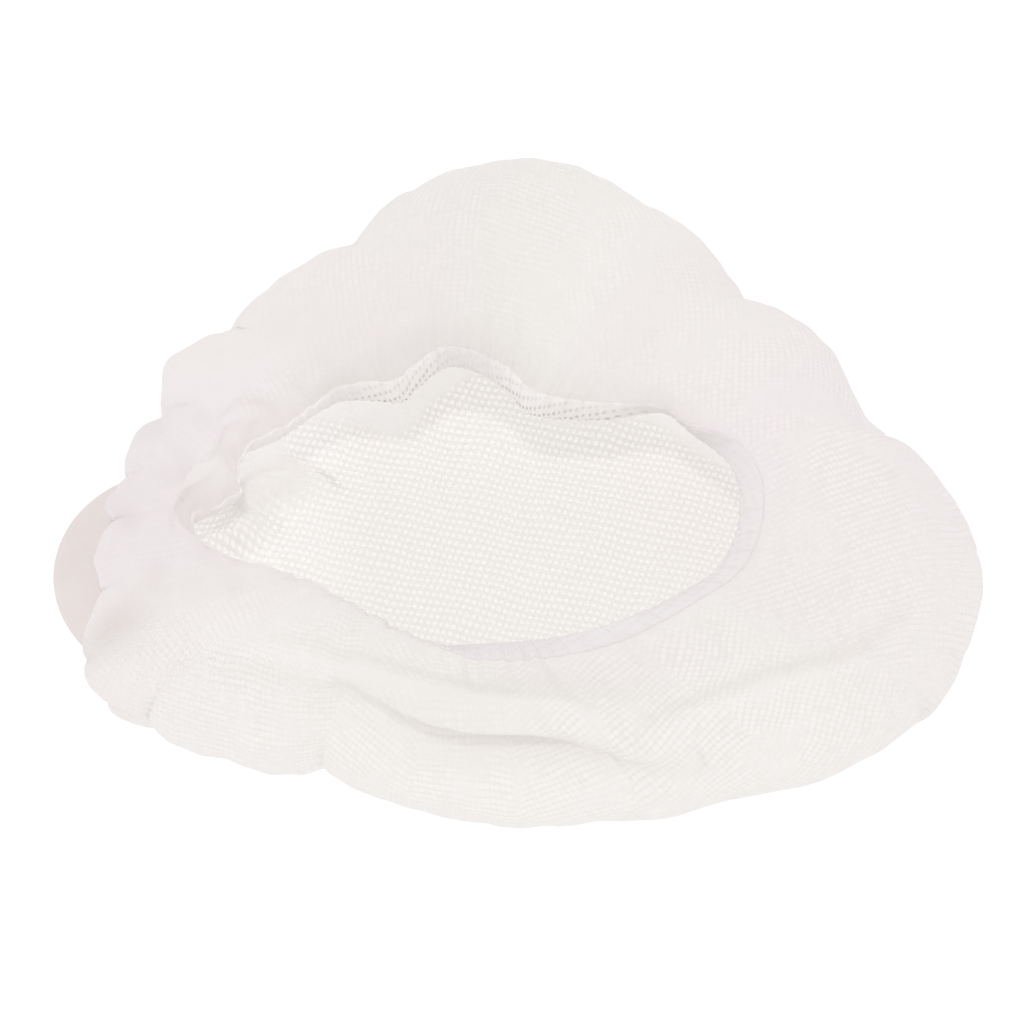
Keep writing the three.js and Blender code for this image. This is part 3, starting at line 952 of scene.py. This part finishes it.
def stitches(maker, u, v):
    """Millimetres to the middle of the nearest hole, that hole's number, and its wale."""
    i = u * (NEXT_ROW[1] * scale) + v * (-NEXT_ROW[0] * scale)
    j = u * (-STITCH[1] * scale) + v * (STITCH[0] * scale)
    whole_i, whole_j = i.math("ROUND"), j.math("ROUND")
    di, dj = i - whole_i, j - whole_j
    dx = di * STITCH[0] + dj * NEXT_ROW[0]
    dy = di * STITCH[1] + dj * NEXT_ROW[1]
    number = maker.node("ShaderNodeCombineXYZ", {}, {0: whole_i, 1: whole_j})[0]
    return (dx * dx + dy * dy).math("SQRT"), number, whole_i - whole_j


pitch = math.hypot(*STITCH)
corner_one, corner_two, corner_three, corner_four = np.moveaxis(cut.reshape(-1, 4, 2), 1, 0)
across, down = corner_three - corner_one, corner_four - corner_two
cut_faces = abs(across[:, 0] * down[:, 1] - across[:, 1] * down[:, 0]) / 2
print("one hole each", round(pitch, 2), "mm, rows", round(1 / abs(scale * MM) / pitch, 2),
      "mm apart, about", int(cut_faces.sum() * abs(scale) / MM), "holes in all")

# %% [markdown]
# ## The net
#
# The distance to the nearest hole gives everything: clear inside a small circle, a round thread
# outside it, and a painted glow in the middle of a closed stitch, as where light shines through the
# hole. Shut and clear net is painted paler too. The rows are bent a little by slow noise, and each
# hole has its own size, because no two stitches are alike. Thin white threads let light through, so
# part of what they show comes from behind.

# %% Net material
# the threads' colour, and a paler copy of it that is painted light
THREAD, LIT_THREAD = (0.915, 0.895, 0.875, 1), (0.99, 0.98, 0.966, 1)
DARK_WALE = (0.8, 0.775, 0.74, 1)  # a few lines of stitches, drawn darker where the net is clear
# colour of the painted shade
PAINTED_SHADE_COLOUR = (0.845, 0.82, 0.795, 1)
LAVENDER = (0.998, 0.974, 1, 1)
THROUGH = 0.45  # share of the light that comes through the threads
WANDER = 0.0035  # metres by which the rows wander, there and back


def net(name, hole, **fixed):
    """Knitted cloth with one hole of this radius for each stitch."""
    maker = Maker(name, **fixed)
    uv = maker.node("ShaderNodeUVMap", {"uv_map": "cut"})[0]
    slow = maker.node("ShaderNodeTexNoise", {"noise_dimensions": "2D"},
                      {"Vector": uv, "Scale": 45.0, "Detail": 1.0})
    u, v, _ = maker.node("ShaderNodeSeparateXYZ", {}, {0: uv})
    drift_u, drift_v, _ = maker.node("ShaderNodeSeparateColor", {}, {0: slow[1]})
    u, v = u + (drift_u - 0.5) * WANDER, v + (drift_v - 0.5) * WANDER
    distance, number, wale = stitches(maker, u, v)
    luck = maker.node("ShaderNodeTexWhiteNoise", {"noise_dimensions": "2D"}, {"Vector": number})[0]
    shut, layers = maker.read("shut"), maker.read("layers")
    clear, cool = maker.read("open"), maker.read("cool")

    size = (luck * 0.1 + 0.95) * hole * (1 - shut * 1.35)
    solid = (distance - size).ramp(-0.3, 0.3)
    round_thread = distance.ramp(hole * 0.8, 1.2)

    tone = maker.node("ShaderNodeTexNoise", {}, {"Vector": uv, "Scale": 160.0, "Detail": 3.0})[0]
    # painted light: the middle of each stitch is paler, as where light shines through the hole
    hole_glow = (1 - distance.ramp(hole * 1.05, 1.25)) * (luck * 0.9 + 0.55) - 0.55
    strength = slow[0].ramp(0.36, 0.6) * 0.75 + 0.25 + clear
    # shut and clear net is painted paler as well, as if lit through; the slow noise tone is the
    # cloth's own
    lighter = (1 - shut) * (hole_glow * strength + 0.47) + shut * 0.6 + clear * 0.6
    base = maker.mix(lighter + tone * 0.3 - 0.03, THREAD, LIT_THREAD)
    wale_luck, _ = maker.node("ShaderNodeTexWhiteNoise", {"noise_dimensions": "1D"}, {"W": wale})
    base = maker.mix(wale_luck.ramp(0.86, 0.9) * round_thread * (clear - 0.08), base, DARK_WALE)
    # painted shade from the points, then the faint lavender tint
    base = maker.tint(cool, maker.mix(layers, base, PAINTED_SHADE_COLOUR), LAVENDER)
    maker.feed("Base Color", base)

    relief = maker.bump(0.18, 0.0004, round_thread * (1 - shut * 0.8))
    maker.feed("Normal", relief)
    threads = maker.glow_through(base, relief, THROUGH)
    gap = maker.node("ShaderNodeBsdfTransparent")[0]
    covered = 1 - (1 - solid) * clear
    maker.show(maker.node("ShaderNodeMixShader", {}, {0: covered, 1: gap, 2: threads})[0])
    return maker.material


net_cloth = net("mesh_cloth", HOLE, Roughness=0.85, Specular_IOR_Level=0.2)
crown_mesh.materials.append(net_cloth)
print("net:", len(net_cloth.node_tree.nodes), "nodes")

# %% [markdown]
# ## Cloth of the band
#
# The casing is the same net, doubled over the elastic. Light doesn't come through it, so its holes
# are no gaps but small dark dots. They show only where the band hangs in front of a dark space, and
# fade towards its edges, where the net turns away.

# %% Band cloth
CASING_SHADE, CASING, CASING_PALE = ((0.825, 0.783, 0.79, 1), (0.92, 0.89, 0.87, 1),
                                     (0.95, 0.922, 0.918, 1))
DOT = (0.46, 0.44, 0.42, 1)

casing = Maker("elastic_hem", Roughness=0.85, Specular_IOR_Level=0.2)
uv = casing.node("ShaderNodeUVMap", {"uv_map": "cut"})[0]
u, v, _ = casing.node("ShaderNodeSeparateXYZ", {}, {0: uv})
distance, _, _ = stitches(casing, u, v)
dots = 1 - (distance - 0.5).ramp(-0.25, 0.25)
middle = TAPE[1] / 2
edge = 1 - (v - middle).math("ABSOLUTE") * (1 / middle)
depth = casing.read("depth")
# painted shade where the band lies deep in shade, painted light round turn 170
light = casing.mix(casing.read("bright"), casing.mix(depth, CASING_SHADE, CASING), CASING_PALE)
casing.feed("Base Color", casing.mix(dots * depth * depth * edge ** 1.4, light, DOT))
casing.feed("Normal", casing.bump(0.3, 0.0003, 1 - dots))
band_mesh.materials.append(casing.material)
print("band cloth:", len(casing.tree.nodes), "nodes")

# %% [markdown]
# ## Cloth of the peak
#
# The peak is covered in a plain weave, too fine to see thread by thread. Two crossed sine waves
# 0.6 mm apart give its surface a grain, and slow noise keeps the colour from being flat.

# %% Peak cloth
WEAVE = 0.0006  # metres from thread to thread

plain = Maker("peak_cloth", Roughness=0.8, Specular_IOR_Level=0.25)
where = plain.node("ShaderNodeTexCoord")[3]
x, y, _ = plain.node("ShaderNodeSeparateXYZ", {}, {0: where})
weave = (x * (2 * math.pi / WEAVE)).math("SINE") * (y * (2 * math.pi / WEAVE)).math("SINE")
grain = plain.node("ShaderNodeTexNoise", {}, {"Vector": where, "Scale": 90.0, "Detail": 4.0})[0]
plain.feed("Base Color", plain.mix(grain, colour(230, 221, 219), colour(239, 232, 230)))
plain.feed("Normal", plain.bump(0.2, 0.0001, weave))
peak_mesh.materials.append(plain.material)
print("materials:", [m.name for m in bpy.data.materials])

# %% [markdown]
# ## The crown as cloth
#
# The crown is a sheet: its flat cut is a disc, whose size before it was gathered is printed with
# the strips above.

# %% [markdown]
# ## Floor
#
# A white net is shown best on a bright surface. The floor glows by itself, so that it stays white
# through the holes, and it still takes a faint shade from the cap.

# %% Floor
bm = bmesh.new()
bmesh.ops.create_grid(bm, x_segments=8, y_segments=8, size=3)
floor_mesh = bpy.data.meshes.new("floor")
bm.to_mesh(floor_mesh)
bm.free()
floor = bpy.data.objects.new("floor", floor_mesh)
bpy.context.scene.collection.objects.link(floor)
bright_floor = Maker("studio_floor", Base_Color=(0.16, 0.16, 0.16, 1), Roughness=1.0,
                     Emission_Color=(1, 1, 1, 1), Emission_Strength=0.92,
                     Specular_IOR_Level=0.0)
floor_mesh.materials.append(bright_floor.material)
print("floor:", [round(side) for side in floor.dimensions[:2]], "metres")

# %% [markdown]
# ## Light
#
# Nearly all the light comes evenly from the whole sky, as in a white light tent, so white cloth
# keeps its soft look. A weak sun with a wide disc, almost overhead, adds just enough direction for
# the folds to be read.

# %% Sky and lamp
world = bpy.data.worlds.new("studio")
world.use_nodes = True
sky = world.node_tree.nodes["Background"].inputs
sky["Color"].default_value = (1, 1, 1, 1)
sky["Strength"].default_value = 0.85
bpy.context.scene.world = world

lamp = bpy.data.lights.new("overhead", "SUN")
lamp.energy = 0.15 * math.pi
lamp.angle = math.radians(5)
overhead = bpy.data.objects.new("overhead", lamp)
overhead.rotation_euler = (math.radians(12), math.radians(-4), 0)
bpy.context.scene.collection.objects.link(overhead)
print("lamp:", round(lamp.energy, 2), "against a sky of", round(sky["Strength"].default_value, 2))

# %% [markdown]
# ## Camera
#
# A long lens from far away keeps the near and the far rim in their true proportion. The camera
# looks down at 60 degrees, steep enough to see through the opening onto the net inside.

# %% Camera
LENS, SENSOR, FRAME_WIDTH = 500, 36, 317.4
ELEVATION = math.radians(60)
AIM = (-0.9 * MM, -4.4 * MM, 20 * MM)

camera_data = bpy.data.cameras.new("camera")
camera_data.lens = LENS
camera_data.sensor_width = SENSOR
camera_data.clip_end = 20
camera = bpy.data.objects.new("camera", camera_data)
away = FRAME_WIDTH * LENS / SENSOR * MM
camera.location = (AIM[0], AIM[1] - away * math.cos(ELEVATION), AIM[2] + away * math.sin(ELEVATION))
camera.rotation_euler = (math.pi / 2 - ELEVATION, 0, 0)
bpy.context.scene.collection.objects.link(camera)
bpy.context.scene.camera = camera
bpy.context.scene.view_settings.view_transform = "Standard"
print("camera", round(away, 2), "m away,", FRAME_WIDTH, "mm wide in view")

# %% [markdown]
